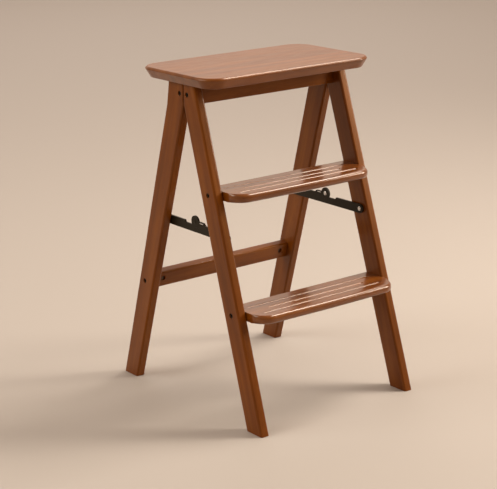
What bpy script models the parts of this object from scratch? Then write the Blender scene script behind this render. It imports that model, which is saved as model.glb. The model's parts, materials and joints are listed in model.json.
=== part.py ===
"""Folding wooden step ladder: seat board, two treads, two hinged leg frames and two side braces."""
import math

import bmesh
import bpy
from mathutils import Vector

# Frame: metres, +Z up, +X to the ladder's right, front toward -Y, floor at Z 0.
GAP = 0.0003
CUT_OVER = 0.002
ROUND_STEPS = 20
SMOOTH_ANGLE = math.radians(40.0)

# Legs
LEG_THICKNESS = 0.020
LEG_WIDTH = 0.0465
LEG_ARRIS = 0.0025
FOOT_OUTER_X = 0.200
SPLAY_TAN = 0.01143
FOOT_OUTER_Y = 0.24265
APEX_DROP = 0.0427
REAR_SHOULDER_DROP = 0.049
REAR_TOP_DROP = 0.0010

# Seat board
SEAT_TOP_Z = 0.6865
SEAT_THICKNESS = 0.022
SEAT_WIDTH = 0.420
SEAT_DEPTH = 0.2447
SEAT_CENTRE_Y = 0.01035
SEAT_CORNER_R = 0.042
SEAT_TOP_ROUND = 0.004
SEAT_BAND = 0.0015
SEAT_UNDER_INSET = 0.010

# Rails under the seat
RAIL_THICKNESS = 0.020
RAIL_HEIGHT = 0.0411
RAIL_FACE_Y = 0.0024
RAIL_ARRIS = 0.0012

# Treads
TREAD_THICKNESS = 0.018
TREAD_MID_Z = (0.2256, 0.4535)
TREAD_DEPTH = 0.1005
TREAD_BOW = 0.003
TREAD_NOSE_R = 0.007
TREAD_CORNER_R = 0.034
GROOVE_BACK = (0.029, 0.0505, 0.074)
GROOVE_HALF = (0.152, 0.124, 0.158)
GROOVE_WIDTH = 0.007
GROOVE_DEEP = 0.0021

# Rear stretcher
STRETCHER_THICKNESS = 0.020
STRETCHER_HEIGHT = 0.037
STRETCHER_SET_BACK = 0.0056
STRETCHER_Z = 0.226
STRETCHER_ARRIS = 0.004

# Leg bolts and barrel nuts
BOLT_R = 0.0030
BOLT_HEAD_R = 0.0046
BOLT_HEAD_LENGTH = 0.0042
BOLT_SOCKET_R = 0.0023
BOLT_SOCKET_DEEP = 0.0024
COUNTERBORE_R = 0.0050
COUNTERBORE_DEEP = 0.0062
NUT_R = 0.0050
NUT_LENGTH = 0.0120
NUT_SETBACK = 0.020
BOLT_PAST_NUT = 0.004
TOP_BOLT_DROP = 0.0215

# Long hinge between the two rails
HINGE_AXIS_DROP = 0.0013
HINGE_WIDTH = 0.240
HINGE_TOP_DROP = 0.0092
HINGE_LEAF = 0.0019
HINGE_KNUCKLES = 9
KNUCKLE_R = 0.0025
HINGE_PIN_R = 0.0010
HINGE_SCREW_X = 0.090
HINGE_SCREW_DROP = 0.015
HINGE_SCREW_R = 0.0017
HINGE_SCREW_HEAD_R = 0.0034
HINGE_SCREW_HEAD = 0.0010
HINGE_SCREW_LENGTH = 0.014

# Seat screws
SEAT_SCREW_X = 0.060
SEAT_SCREW_R = 0.0025
SEAT_SCREW_HEAD_R = 0.0045
SEAT_SCREW_HEAD = 0.003
SEAT_SCREW_RISE = 0.014

# Side braces
BRACE_RIVET_Z = 0.370
KNUCKLE_RISE = 0.012
BRACE_RIVET_OUT = 0.005
KNUCKLE_OFFSET = 0.002
ARM_WIDTH = 0.019
ARM_THICKNESS = 0.0036
ARM_INSET = 0.0016
EAR_R = 0.0125
NOTCH_DEEP = 0.0045
NOTCH_END = 0.0335
SHOULDER_RISE = 0.005
SHOULDER_END = 0.030
BRACE_RIVET_R = 0.003
BRACE_HEAD_R = 0.0046
BRACE_HEAD = 0.0014
BRACE_BACK_HEAD = 0.0006
SPACER_R = 0.0085
RIVET_IN_LEG = 0.012
LOCK_PIN_R = 0.001
LOCK_PIN_NEAR = 0.0145
LOCK_PIN_LENGTH = 0.0125
LOCK_PIN_DROP = 0.0004

# Derived sizes: the lean brings a front and a rear leg together at the apex, in the middle plane
SEAT_UNDER_Z = SEAT_TOP_Z - SEAT_THICKNESS
APEX_Z = SEAT_UNDER_Z - APEX_DROP
APEX_REACH = math.hypot(FOOT_OUTER_Y, APEX_Z)
LEG_LEAN = math.acos(LEG_WIDTH / APEX_REACH) - math.atan2(APEX_Z, FOOT_OUTER_Y)
LEAN_TAN = math.tan(LEG_LEAN)
LEG_SPAN_Y = LEG_WIDTH / math.cos(LEG_LEAN)
FRONT_TOP_Z = SEAT_UNDER_Z - GAP
REAR_TOP_Z = SEAT_UNDER_Z - REAR_TOP_DROP
REAR_SHOULDER_Z = REAR_TOP_Z - REAR_SHOULDER_DROP
RAIL_MID_Y = RAIL_FACE_Y + RAIL_THICKNESS / 2
RAIL_BOTTOM_Z = FRONT_TOP_Z - RAIL_HEIGHT
TOP_BOLT_Z = SEAT_UNDER_Z - TOP_BOLT_DROP
HINGE_AXIS_Z = APEX_Z - HINGE_AXIS_DROP
HINGE_TOP_Z = FRONT_TOP_Z - HINGE_TOP_DROP
HINGE_SCREW_Z = HINGE_TOP_Z - HINGE_SCREW_DROP
STRETCHER_Y = FOOT_OUTER_Y - LEG_SPAN_Y / 2 - LEAN_TAN * STRETCHER_Z + STRETCHER_SET_BACK
HALF = 0.5


def clear_scene():
    for item in list(bpy.data.objects):
        bpy.data.objects.remove(item, do_unlink=True)


def make_material(name, colour, roughness, metallic):
    mat = bpy.data.materials.new(name)
    mat.use_nodes = True
    shader = mat.node_tree.nodes["Principled BSDF"]
    shader.inputs["Base Color"].default_value = (*colour, 1.0)
    shader.inputs["Roughness"].default_value = roughness
    shader.inputs["Metallic"].default_value = metallic
    return mat


def to_object(name, mesh_data):
    bmesh.ops.recalc_face_normals(mesh_data, faces=mesh_data.faces)
    mesh = bpy.data.meshes.new(name)
    mesh_data.to_mesh(mesh)
    mesh_data.free()
    item = bpy.data.objects.new(name, mesh)
    bpy.context.scene.collection.objects.link(item)
    return item


def loft(rings):
    """Close a stack of equal-length rings of points into one body."""
    mesh_data = bmesh.new()
    loops = [[mesh_data.verts.new(point) for point in ring] for ring in rings]
    for lower, upper in zip(loops, loops[1:]):
        for index, vert in enumerate(lower):
            nxt = (index + 1) % len(lower)
            mesh_data.faces.new((vert, lower[nxt], upper[nxt], upper[index]))
    mesh_data.faces.new(loops[0][::-1])
    mesh_data.faces.new(loops[-1])
    return mesh_data


def prism_x(outline, low, high):
    """Extrude a Y-Z outline along X."""
    return loft([[(x, y, z) for y, z in outline] for x in (low, high)])


def rod(axis, centre, radius, low, high, steps=ROUND_STEPS):
    """A cylinder along one axis from low to high; centre gives the other two coordinates."""
    points = []
    for index in range(steps):
        angle = math.tau * (index + HALF) / steps
        first = centre[0] + radius * math.cos(angle)
        second = centre[1] + radius * math.sin(angle)
        points.append((first, second))
    return loft([[place(axis, along, point) for point in points] for along in (low, high)])


def place(axis, along, point):
    if axis == "X":
        return (along, point[0], point[1])
    if axis == "Y":
        return (point[0], along, point[1])
    return (point[0], point[1], along)


def turned(axis, centre, profile, steps=ROUND_STEPS):
    """A body of rings (along, radius) on one axis."""
    rings = []
    for along, radius in profile:
        ring = []
        for index in range(steps):
            angle = math.tau * (index + HALF) / steps
            point = (centre[0] + radius * math.cos(angle), centre[1] + radius * math.sin(angle))
            ring.append(place(axis, along, point))
        rings.append(ring)
    return loft(rings)


def bevel_edges(mesh_data, width, steps, wanted):
    edges = [edge for edge in mesh_data.edges if wanted(edge)]
    bmesh.ops.bevel(mesh_data, geom=edges, offset=width, segments=steps, profile=HALF, affect="EDGES")


def combine(target, tools, operation):
    for tool in tools:
        modifier = target.modifiers.new("shape", "BOOLEAN")
        modifier.operation = operation
        modifier.solver = "EXACT"
        modifier.object = tool
        tool.hide_render = True
        tool.display_type = "WIRE"
    depsgraph = bpy.context.evaluated_depsgraph_get()
    shaped = bpy.data.meshes.new_from_object(target.evaluated_get(depsgraph))
    target.modifiers.clear()
    target.data = shaped
    for tool in tools:
        bpy.data.objects.remove(tool, do_unlink=True)


def cut(target, mesh_datas):
    combine(target, [to_object("cutter", data) for data in mesh_datas], "DIFFERENCE")


def join(target, mesh_datas):
    combine(target, [to_object("joined", data) for data in mesh_datas], "UNION")


def finish(item, mat, origin):
    """Set material, smooth shading and the object's origin."""
    shift = Vector(origin)
    for vert in item.data.vertices:
        vert.co -= shift
    item.location = shift
    item.data.materials.clear()
    item.data.materials.append(mat)
    for poly in item.data.polygons:
        poly.use_smooth = True
    mesh_data = bmesh.new()
    mesh_data.from_mesh(item.data)
    for edge in mesh_data.edges:
        edge.smooth = edge.calc_face_angle(0.0) < SMOOTH_ANGLE
    mesh_data.to_mesh(item.data)
    mesh_data.free()
    return item


def outer_x(z):
    return FOOT_OUTER_X - SPLAY_TAN * z


def inner_x(z):
    return outer_x(z) - LEG_THICKNESS


def leg_mid_y(z):
    """Distance of a leg's centre line from the middle plane at height z."""
    return FOOT_OUTER_Y - LEG_SPAN_Y / 2 - LEAN_TAN * z


def splayed(mesh_data, side):
    """Lean a body sideways so that its ends or faces follow the splayed legs."""
    for vert in mesh_data.verts:
        vert.co.x -= side * SPLAY_TAN * vert.co.z
    return mesh_data


# ---------------------------------------------------------------- legs
def front_leg_outline():
    inner_z = (FOOT_OUTER_Y - LEG_SPAN_Y - GAP / 2) / LEAN_TAN
    return [
        (-FOOT_OUTER_Y, 0.0),
        (-FOOT_OUTER_Y + LEG_SPAN_Y, 0.0),
        (-GAP / 2, inner_z),
        (-GAP / 2, FRONT_TOP_Z),
        (-FOOT_OUTER_Y + LEAN_TAN * FRONT_TOP_Z, FRONT_TOP_Z),
    ]


def rear_leg_outline():
    inner_z = (FOOT_OUTER_Y - LEG_SPAN_Y - GAP / 2) / LEAN_TAN
    shoulder_y = FOOT_OUTER_Y - LEAN_TAN * REAR_SHOULDER_Z
    return [
        (FOOT_OUTER_Y, 0.0),
        (shoulder_y, REAR_SHOULDER_Z),
        (shoulder_y, REAR_TOP_Z),
        (GAP / 2, REAR_TOP_Z),
        (GAP / 2, inner_z),
        (FOOT_OUTER_Y - LEG_SPAN_Y, 0.0),
    ]


def leg_hole_cutters(side, centre):
    """Counterbore and through hole for one leg bolt."""
    face = outer_x(centre[1])
    back = face - LEG_THICKNESS - CUT_OVER
    floor_x = face - COUNTERBORE_DEEP
    wide = rod("X", centre, COUNTERBORE_R, side * floor_x, side * (face + CUT_OVER))
    narrow = rod("X", centre, BOLT_R + GAP, side * back, side * (floor_x + CUT_OVER))
    return [wide, narrow]


def build_leg(name, outline, side, bolts, rivet_y):
    mesh_data = prism_x(outline, side * (FOOT_OUTER_X - LEG_THICKNESS), side * FOOT_OUTER_X)

    def along_leg(edge):
        ends = [vert.co for vert in edge.verts]
        return abs(ends[0].x - ends[1].x) < GAP and abs(ends[0].z - ends[1].z) > LEG_THICKNESS

    bevel_edges(mesh_data, LEG_ARRIS, 2, along_leg)
    leg = to_object(name, splayed(mesh_data, side))
    cutters = []
    for centre in bolts:
        cutters += leg_hole_cutters(side, centre)
    face = inner_x(BRACE_RIVET_Z)
    cutters.append(rod("X", (rivet_y, BRACE_RIVET_Z), BRACE_RIVET_R + GAP,
                       side * (face - CUT_OVER), side * (face + RIVET_IN_LEG)))
    cut(leg, cutters)
    return leg


def build_bolt(name, mat, side, centre, origin):
    """Recessed cap bolt reaching through its barrel nut."""
    face = outer_x(centre[1])
    seat_x = face - COUNTERBORE_DEEP + GAP
    tip_x = inner_x(centre[1]) - GAP - NUT_SETBACK - NUT_R - BOLT_PAST_NUT
    head_x = seat_x + BOLT_HEAD_LENGTH
    floor_x = head_x - BOLT_SOCKET_DEEP
    profile = [
        (side * tip_x, BOLT_R),
        (side * seat_x, BOLT_R),
        (side * seat_x, BOLT_HEAD_R),
        (side * head_x, BOLT_HEAD_R),
        (side * head_x, BOLT_SOCKET_R),
        (side * floor_x, BOLT_SOCKET_R),
    ]
    bolt = to_object(name, turned("X", centre, profile))
    return finish(bolt, mat, origin)


def nut_x(centre):
    return inner_x(centre[1]) - GAP - NUT_SETBACK


def nut_hole_cutters(side, centre, axis, other_low, other_high):
    """Blind barrel-nut bore plus the bolt bore entering from the piece's end."""
    along = side * nut_x(centre)
    if axis == "Z":
        bore_centre = (along, centre[0])
    else:
        bore_centre = (along, centre[1])
    bore = rod(axis, bore_centre, NUT_R + GAP, other_low, other_high)
    deep = side * (nut_x(centre) - NUT_R - BOLT_PAST_NUT - GAP)
    entry = rod("X", centre, BOLT_R + GAP, deep, side * (inner_x(centre[1]) + CUT_OVER))
    return [bore, entry]


def build_nut(name, mat, side, centre, axis, origin):
    along = side * nut_x(centre)
    if axis == "Z":
        nut_centre = (along, centre[0])
        middle = centre[1]
    else:
        nut_centre = (along, centre[1])
        middle = centre[0]
    half = NUT_LENGTH / 2
    nut = to_object(name, rod(axis, nut_centre, NUT_R, middle - half, middle + half))
    reach = NUT_R + CUT_OVER
    cut(nut, [rod("X", centre, BOLT_R + GAP, along - reach, along + reach)])
    return finish(nut, mat, origin)


# ---------------------------------------------------------------- seat and treads
def rounded_rectangle(half_x, half_y, radius, centre_y, z, steps=6):
    points = []
    for corner in range(4):
        sign_x = 1 if corner in (0, 3) else -1
        sign_y = 1 if corner in (0, 1) else -1
        for index in range(steps + 1):
            angle = math.pi / 2 * (corner + index / steps)
            x = sign_x * (half_x - radius) + radius * math.cos(angle)
            y = centre_y + sign_y * (half_y - radius) + radius * math.sin(angle)
            points.append((x, y, z))
    return points


def build_seat(mat):
    band_top = SEAT_TOP_Z - SEAT_TOP_ROUND
    levels = [(SEAT_UNDER_Z, SEAT_UNDER_INSET), (band_top - SEAT_BAND, 0.0), (band_top, 0.0)]
    for step in (1, 2, 3):
        angle = math.pi / 2 * step / 3
        inset = SEAT_TOP_ROUND * (1 - math.cos(angle))
        levels.append((band_top + SEAT_TOP_ROUND * math.sin(angle), inset))
    rings = []
    for z, inset in levels:
        rings.append(rounded_rectangle(SEAT_WIDTH / 2 - inset, SEAT_DEPTH / 2 - inset,
                                       SEAT_CORNER_R - inset, SEAT_CENTRE_Y, z))
    seat = to_object("seat_board", loft(rings))
    top = SEAT_UNDER_Z + SEAT_SCREW_RISE + GAP
    holes = [rod("Z", (sign * SEAT_SCREW_X, -RAIL_MID_Y), SEAT_SCREW_R + GAP,
                 SEAT_UNDER_Z - CUT_OVER, top, 12) for sign in (-1, 1)]
    cut(seat, holes)
    return finish(seat, mat, (0.0, SEAT_CENTRE_Y, SEAT_UNDER_Z))


def tread_back_y(mid_z):
    return -FOOT_OUTER_Y + LEG_SPAN_Y + LEAN_TAN * mid_z


def tread_outline(mid_z):
    """Plan outline as (x, y, nose weight, outward x, outward y)."""
    half_x = inner_x(mid_z) - GAP
    back_y = tread_back_y(mid_z)
    front_y = back_y - TREAD_DEPTH
    start_x = half_x - TREAD_CORNER_R
    bowed = front_y + TREAD_BOW
    points = [(half_x, back_y, 0.0, 0.0, 0.0), (-half_x, back_y, 0.0, 0.0, 0.0)]
    steps = 6
    left = []
    for index in range(steps + 1):
        angle = math.pi / 2 * index / steps
        x = -start_x - TREAD_CORNER_R * math.cos(angle)
        y = bowed + TREAD_CORNER_R * (1 - math.sin(angle))
        left.append((x, y, math.sin(angle), -math.cos(angle), -math.sin(angle)))
    middle = []
    bow_steps = 8
    for index in range(1, bow_steps):
        x = -start_x + 2 * start_x * index / bow_steps
        middle.append((x, bowed - TREAD_BOW * (1 - (x / start_x) ** 2), 1.0, 0.0, -1.0))
    right = [(-x, y, weight, -out_x, out_y) for x, y, weight, out_x, out_y in left[::-1]]
    return points + left + middle + right


def groove_cutter(mid_z, back, half):
    """One capsule-ended groove cut in the tread's top."""
    front_y = tread_back_y(mid_z) - TREAD_DEPTH
    y = front_y + back
    radius = GROOVE_WIDTH / 2
    points = []
    for sign, start in ((1, -math.pi / 2), (-1, math.pi / 2)):
        for index in range(5):
            angle = start + math.pi * index / 4
            points.append((sign * (half - radius) + radius * math.cos(angle),
                           y + radius * math.sin(angle)))
    top = mid_z + TREAD_THICKNESS / 2
    return loft([[(px, py, z) for px, py in points] for z in (top - GROOVE_DEEP, top + CUT_OVER)])


def build_tread(name, mat, mid_z):
    outline = tread_outline(mid_z)
    half = TREAD_THICKNESS / 2
    levels = []
    for step in (0, 1, 2, 3):
        angle = math.pi / 2 * step / 3
        levels.append((half - TREAD_NOSE_R * (1 - math.sin(angle)), TREAD_NOSE_R * (1 - math.cos(angle))))
    stack = [(-rise, inset) for rise, inset in levels[::-1]] + levels
    rings = []
    for rise, inset in stack:
        ring = []
        for x, y, weight, out_x, out_y in outline:
            drop = inset * weight
            splay = -SPLAY_TAN * rise * (1 if x > 0 else -1) * abs(x) / inner_x(mid_z)
            ring.append((x - out_x * drop + splay, y - out_y * drop, mid_z + rise))
        rings.append(ring)
    tread = to_object(name, loft(rings))
    cutters = [groove_cutter(mid_z, back, span) for back, span in zip(GROOVE_BACK, GROOVE_HALF)]
    centre = (-leg_mid_y(mid_z), mid_z)
    low = mid_z - half - CUT_OVER
    high = mid_z + NUT_LENGTH / 2 + GAP
    for side in (-1, 1):
        cutters += nut_hole_cutters(side, centre, "Z", low, high)
    cut(tread, cutters)
    return finish(tread, mat, (0.0, centre[0], mid_z))


# ---------------------------------------------------------------- rails and stretcher
def end_trimmed(mesh_data):
    """Move a cross piece's ends onto the splayed inner faces of the legs."""
    for vert in mesh_data.verts:
        side = 1 if vert.co.x > 0 else -1
        vert.co.x = side * (inner_x(vert.co.z) - GAP)
    return mesh_data


def cross_piece(outline, arris):
    mesh_data = prism_x(outline, -HALF, HALF)
    bevel_edges(mesh_data, arris, 2, lambda edge: abs(edge.verts[0].co.x - edge.verts[1].co.x) > HALF)
    return end_trimmed(mesh_data)


def rail_outline(sign, top_z):
    near = sign * RAIL_FACE_Y
    far = sign * (RAIL_FACE_Y + RAIL_THICKNESS)
    return [(near, RAIL_BOTTOM_Z), (far, RAIL_BOTTOM_Z), (far, top_z), (near, top_z)]


def build_rail(name, mat, sign, top_z, origin):
    rail = to_object(name, cross_piece(rail_outline(sign, top_z), RAIL_ARRIS))
    centre = (sign * RAIL_MID_Y, TOP_BOLT_Z)
    near = sign * (RAIL_FACE_Y - CUT_OVER)
    deep = sign * (RAIL_MID_Y + NUT_LENGTH / 2 + GAP)
    cutters = []
    for side in (-1, 1):
        cutters += nut_hole_cutters(side, centre, "Y", near, deep)
    inner_face = sign * RAIL_FACE_Y
    for _, x in screw_places():
        tip = sign * (RAIL_FACE_Y - GAP - HINGE_LEAF + HINGE_SCREW_LENGTH + GAP)
        cutters.append(rod("Y", (x, HINGE_SCREW_Z), HINGE_SCREW_R + GAP,
                           inner_face - sign * CUT_OVER, tip, 12))
    if sign < 0:
        head_top = RAIL_BOTTOM_Z + SEAT_SCREW_HEAD + 2 * GAP
        for x in (-SEAT_SCREW_X, SEAT_SCREW_X):
            at = (x, -RAIL_MID_Y)
            cutters.append(rod("Z", at, SEAT_SCREW_HEAD_R + GAP, RAIL_BOTTOM_Z - CUT_OVER, head_top, 12))
            cutters.append(rod("Z", at, SEAT_SCREW_R + GAP, head_top - GAP, top_z + CUT_OVER, 12))
    cut(rail, cutters)
    return finish(rail, mat, origin)


def build_stretcher(mat, origin):
    half_t = STRETCHER_THICKNESS / 2
    half_h = STRETCHER_HEIGHT / 2
    outline = []
    for across, up in ((-half_t, -half_h), (half_t, -half_h), (half_t, half_h), (-half_t, half_h)):
        outline.append((STRETCHER_Y + across * math.cos(LEG_LEAN) - up * math.sin(LEG_LEAN),
                        STRETCHER_Z + across * math.sin(LEG_LEAN) + up * math.cos(LEG_LEAN)))
    stretcher = to_object("rear_stretcher", cross_piece(outline, STRETCHER_ARRIS))
    centre = (STRETCHER_Y, STRETCHER_Z)
    cutters = []
    for side in (-1, 1):
        cutters += nut_hole_cutters(side, centre, "Y", STRETCHER_Y - STRETCHER_THICKNESS,
                                    STRETCHER_Y + NUT_LENGTH / 2 + GAP)
    cut(stretcher, cutters)
    return finish(stretcher, mat, origin)


def build_seat_screw(name, mat, sign):
    low = RAIL_BOTTOM_Z + GAP
    neck = low + SEAT_SCREW_HEAD
    profile = [(low, SEAT_SCREW_HEAD_R), (neck, SEAT_SCREW_HEAD_R), (neck, SEAT_SCREW_R),
               (SEAT_UNDER_Z + SEAT_SCREW_RISE, SEAT_SCREW_R)]
    screw = to_object(name, turned("Z", (sign * SEAT_SCREW_X, -RAIL_MID_Y), profile, 12))
    return finish(screw, mat, (sign * SEAT_SCREW_X, -RAIL_MID_Y, low))


# ---------------------------------------------------------------- hinges
def screw_places():
    return (("left", -HINGE_SCREW_X), ("middle", 0.0), ("right", HINGE_SCREW_X))


def build_leaf(name, mat, sign, origin):
    """One hinge leaf: plate plus its share of the knuckles."""
    outer = sign * (RAIL_FACE_Y - GAP)
    inner = outer - sign * HINGE_LEAF
    plate_low = HINGE_AXIS_Z + KNUCKLE_R + 2 * GAP
    plate = [(inner, plate_low), (outer, plate_low), (outer, HINGE_TOP_Z), (inner, HINGE_TOP_Z)]
    low_x = -HINGE_WIDTH / 2
    leaf = to_object(name, prism_x(plate, low_x, low_x + HINGE_WIDTH))
    pitch = HINGE_WIDTH / HINGE_KNUCKLES
    first = 0 if sign < 0 else 1
    barrels = []
    for index in range(first, HINGE_KNUCKLES, 2):
        start = low_x + pitch * index + GAP / 2
        end = low_x + pitch * (index + 1) - GAP / 2
        barrels.append(prism_x(knuckle_outline(inner, outer, plate_low + CUT_OVER), start, end))
    join(leaf, barrels)
    bore = rod("X", (0.0, HINGE_AXIS_Z), HINGE_PIN_R + GAP, low_x - CUT_OVER,
               low_x + HINGE_WIDTH + CUT_OVER, 16)
    holes = [rod("Y", (x, HINGE_SCREW_Z), HINGE_SCREW_R + GAP, inner - sign * CUT_OVER,
                 outer + sign * CUT_OVER, 12) for _, x in screw_places()]
    sinks = [rod("Y", (x, HINGE_SCREW_Z), HINGE_SCREW_HEAD_R + GAP, inner - sign * CUT_OVER,
                 inner + sign * (HINGE_SCREW_HEAD + GAP), 12) for _, x in screw_places()]
    cut(leaf, [bore] + holes + sinks)
    return finish(leaf, mat, origin)


def knuckle_outline(inner, outer, top_z):
    """Round knuckle with a neck rising to the leaf plate."""
    low_y, high_y = sorted((inner, outer))
    start = math.acos(high_y / KNUCKLE_R)
    end = math.acos(low_y / KNUCKLE_R)
    points = [(high_y, top_z), (low_y, top_z)]
    steps = 16
    for index in range(steps + 1):
        angle = end + (math.tau - end + start) * index / steps
        points.append((KNUCKLE_R * math.cos(angle), HINGE_AXIS_Z + KNUCKLE_R * math.sin(angle)))
    return points


def build_pin(mat):
    half = HINGE_WIDTH / 2
    pin = to_object("hinge_pin", rod("X", (0.0, HINGE_AXIS_Z), HINGE_PIN_R, -half, half, 16))
    return finish(pin, mat, (0.0, 0.0, HINGE_AXIS_Z))


def build_hinge_screw(name, mat, sign, x, origin):
    outer = RAIL_FACE_Y - GAP
    head = outer - HINGE_LEAF
    neck = head + HINGE_SCREW_HEAD
    tip = head + HINGE_SCREW_LENGTH
    profile = [(sign * head, HINGE_SCREW_HEAD_R), (sign * neck, HINGE_SCREW_HEAD_R),
               (sign * neck, HINGE_SCREW_R), (sign * tip, HINGE_SCREW_R)]
    screw = to_object(name, turned("Y", (x, HINGE_SCREW_Z), profile, 12))
    return finish(screw, mat, origin)


# ---------------------------------------------------------------- braces
def rivet_y():
    return leg_mid_y(BRACE_RIVET_Z) + BRACE_RIVET_OUT


def knuckle_at(side):
    return (side * KNUCKLE_OFFSET, BRACE_RIVET_Z + KNUCKLE_RISE)


def arm_outline(end_y, knuckle, notched):
    """Bar with a round far end and an ear round the knuckle; the bars butt below the knuckle."""
    away = -1 if end_y < knuckle[0] else 1
    bar_z = BRACE_RIVET_Z - knuckle[1]
    half = ARM_WIDTH / 2
    seam = GAP / 2
    reach = abs(end_y - knuckle[0])
    shelf = bar_z + half + (-NOTCH_DEEP if notched else SHOULDER_RISE)
    points = [(seam, bar_z - half)]
    start = -math.pi / 2
    end = math.pi + math.asin(-shelf / EAR_R)
    steps = 16
    for index in range(steps + 1):
        angle = start + (end - start) * index / steps
        offset = seam if index == 0 else -EAR_R * math.cos(angle)
        points.append((offset, EAR_R * math.sin(angle)))
    if notched:
        points.append((NOTCH_END, shelf))
        points.append((NOTCH_END + HALF * NOTCH_DEEP, bar_z + half))
    else:
        points.append((SHOULDER_END, shelf))
        points.append((SHOULDER_END + SHOULDER_RISE, bar_z + half))
    round_steps = 8
    for index in range(round_steps + 1):
        angle = math.pi / 2 - math.pi * index / round_steps
        points.append((reach + half * math.cos(angle), bar_z + half * math.sin(angle)))
    return [(knuckle[0] + away * y, knuckle[1] + z) for y, z in points]


def arm_layers():
    """Inner face, middle plane and outer face of the brace arms, as distances from the middle."""
    outer = inner_x(BRACE_RIVET_Z) - ARM_INSET
    return outer - ARM_THICKNESS, outer - ARM_THICKNESS / 2, outer


def pin_place(side):
    """Axis (x, z) and the two ends in y of the locking pin, flush with the arm's left-hand face."""
    inner, _, outer = arm_layers()
    knuckle = knuckle_at(side)
    face_x = inner + LOCK_PIN_R if side > 0 else outer - LOCK_PIN_R
    start = knuckle[0] + side * LOCK_PIN_NEAR
    return (side * face_x, knuckle[1] - LOCK_PIN_DROP), start, start + side * LOCK_PIN_LENGTH


def pin_slot(side):
    inner, _, outer = arm_layers()
    (x, z), start, end = pin_place(side)
    room = LOCK_PIN_R + GAP
    face = side * (inner - CUT_OVER if side > 0 else outer + CUT_OVER)
    low_y = min(start, end) - GAP
    high_y = max(start, end) + GAP
    corners = [(low_y, z - room), (high_y, z - room), (high_y, z + room), (low_y, z + room)]
    return prism_x(corners, face, x + room)


def build_arm(name, mat, side, front, origin):
    inner, middle, outer = arm_layers()
    knuckle = knuckle_at(side)
    end_y = -rivet_y() if front else rivet_y()
    notched = front == (side > 0)
    arm = to_object(name, prism_x(arm_outline(end_y, knuckle, notched), side * inner, side * outer))
    if front:
        lap = (side * (middle - GAP / 2), side * (outer + CUT_OVER))
    else:
        lap = (side * (inner - CUT_OVER), side * (middle + GAP / 2))
    bore = (side * (inner - CUT_OVER), side * (outer + CUT_OVER))
    cutters = [
        rod("X", knuckle, EAR_R + GAP, lap[0], lap[1]),
        rod("X", knuckle, BRACE_RIVET_R + GAP, bore[0], bore[1]),
        rod("X", (end_y, BRACE_RIVET_Z), BRACE_RIVET_R + GAP, bore[0], bore[1]),
    ]
    if not notched:
        cutters.append(pin_slot(side))
    cut(arm, cutters)
    return finish(arm, mat, origin)


def headed_rivet(name, mat, side, centre, tip, far_head, origin):
    """Rivet with a head on the inner face and, where asked, one beyond the outer face."""
    inner, _, outer = arm_layers()
    face = inner - GAP
    profile = [
        (side * (face - BRACE_HEAD), BRACE_HEAD_R - BRACE_HEAD),
        (side * (face - BRACE_HEAD / 2), BRACE_HEAD_R),
        (side * face, BRACE_HEAD_R),
        (side * face, BRACE_RIVET_R),
    ]
    if far_head:
        far = outer + GAP
        profile += [
            (side * far, BRACE_RIVET_R),
            (side * far, BRACE_HEAD_R),
            (side * (far + BRACE_BACK_HEAD), BRACE_HEAD_R),
        ]
    else:
        profile.append((side * tip, BRACE_RIVET_R))
    rivet = to_object(name, turned("X", centre, profile, 16))
    return finish(rivet, mat, origin)


def build_front_spacer(name, mat, side):
    centre = (-rivet_y(), BRACE_RIVET_Z)
    _, _, outer = arm_layers()
    low = outer + GAP
    high = inner_x(BRACE_RIVET_Z + SPACER_R) - GAP
    spacer = to_object(name, rod("X", centre, SPACER_R, side * low, side * high))
    cut(spacer, [rod("X", centre, BRACE_RIVET_R + GAP, side * (low - CUT_OVER), side * (high + CUT_OVER))])
    return finish(spacer, mat, (side * low, *centre))


def build_rear_spacer(name, mat, side, origin):
    """Spacer with its own shank in the rear leg; it stops short of the brace's rear rivet."""
    centre = (rivet_y(), BRACE_RIVET_Z)
    _, _, outer = arm_layers()
    low = outer + GAP
    high = inner_x(BRACE_RIVET_Z + SPACER_R) - GAP
    tip = inner_x(BRACE_RIVET_Z) + RIVET_IN_LEG - GAP
    profile = [
        (side * low, SPACER_R),
        (side * high, SPACER_R),
        (side * high, BRACE_RIVET_R),
        (side * tip, BRACE_RIVET_R),
    ]
    spacer = to_object(name, turned("X", centre, profile))
    return finish(spacer, mat, origin)


def build_lock_pin(name, mat, side, origin):
    """Short locking pin beside the knuckle, in a slot of the arm with the shoulder."""
    centre, start, end = pin_place(side)
    pin = to_object(name, rod("Y", centre, LOCK_PIN_R, start, end, 12))
    return finish(pin, mat, origin)


def build_brace(side, label, steel, zinc):
    inner, _, outer = arm_layers()
    knuckle = knuckle_at(side)
    middle_x = side * (inner + outer) / 2
    front_origin = (middle_x, -rivet_y(), BRACE_RIVET_Z)
    rear_origin = (middle_x, *knuckle)
    build_arm("brace_front_arm_" + label, steel, side, True, front_origin)
    build_arm("brace_rear_arm_" + label, steel, side, False, rear_origin)
    leg_tip = inner_x(BRACE_RIVET_Z) + RIVET_IN_LEG - GAP
    front_at = (-rivet_y(), BRACE_RIVET_Z)
    rear_at = (rivet_y(), BRACE_RIVET_Z)
    headed_rivet("brace_front_rivet_" + label, zinc, side, front_at, leg_tip, False, front_origin)
    headed_rivet("brace_knuckle_rivet_" + label, zinc, side, knuckle, outer, True, rear_origin)
    headed_rivet("brace_rear_rivet_" + label, zinc, side, rear_at, outer, False, rear_origin)
    build_front_spacer("brace_front_spacer_" + label, steel, side)
    build_rear_spacer("brace_rear_spacer_" + label, steel, side, (side * outer, rivet_y(), BRACE_RIVET_Z))
    pin_origin = rear_origin if side > 0 else front_origin
    build_lock_pin("brace_lock_pin_" + label, zinc, side, pin_origin)


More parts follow.
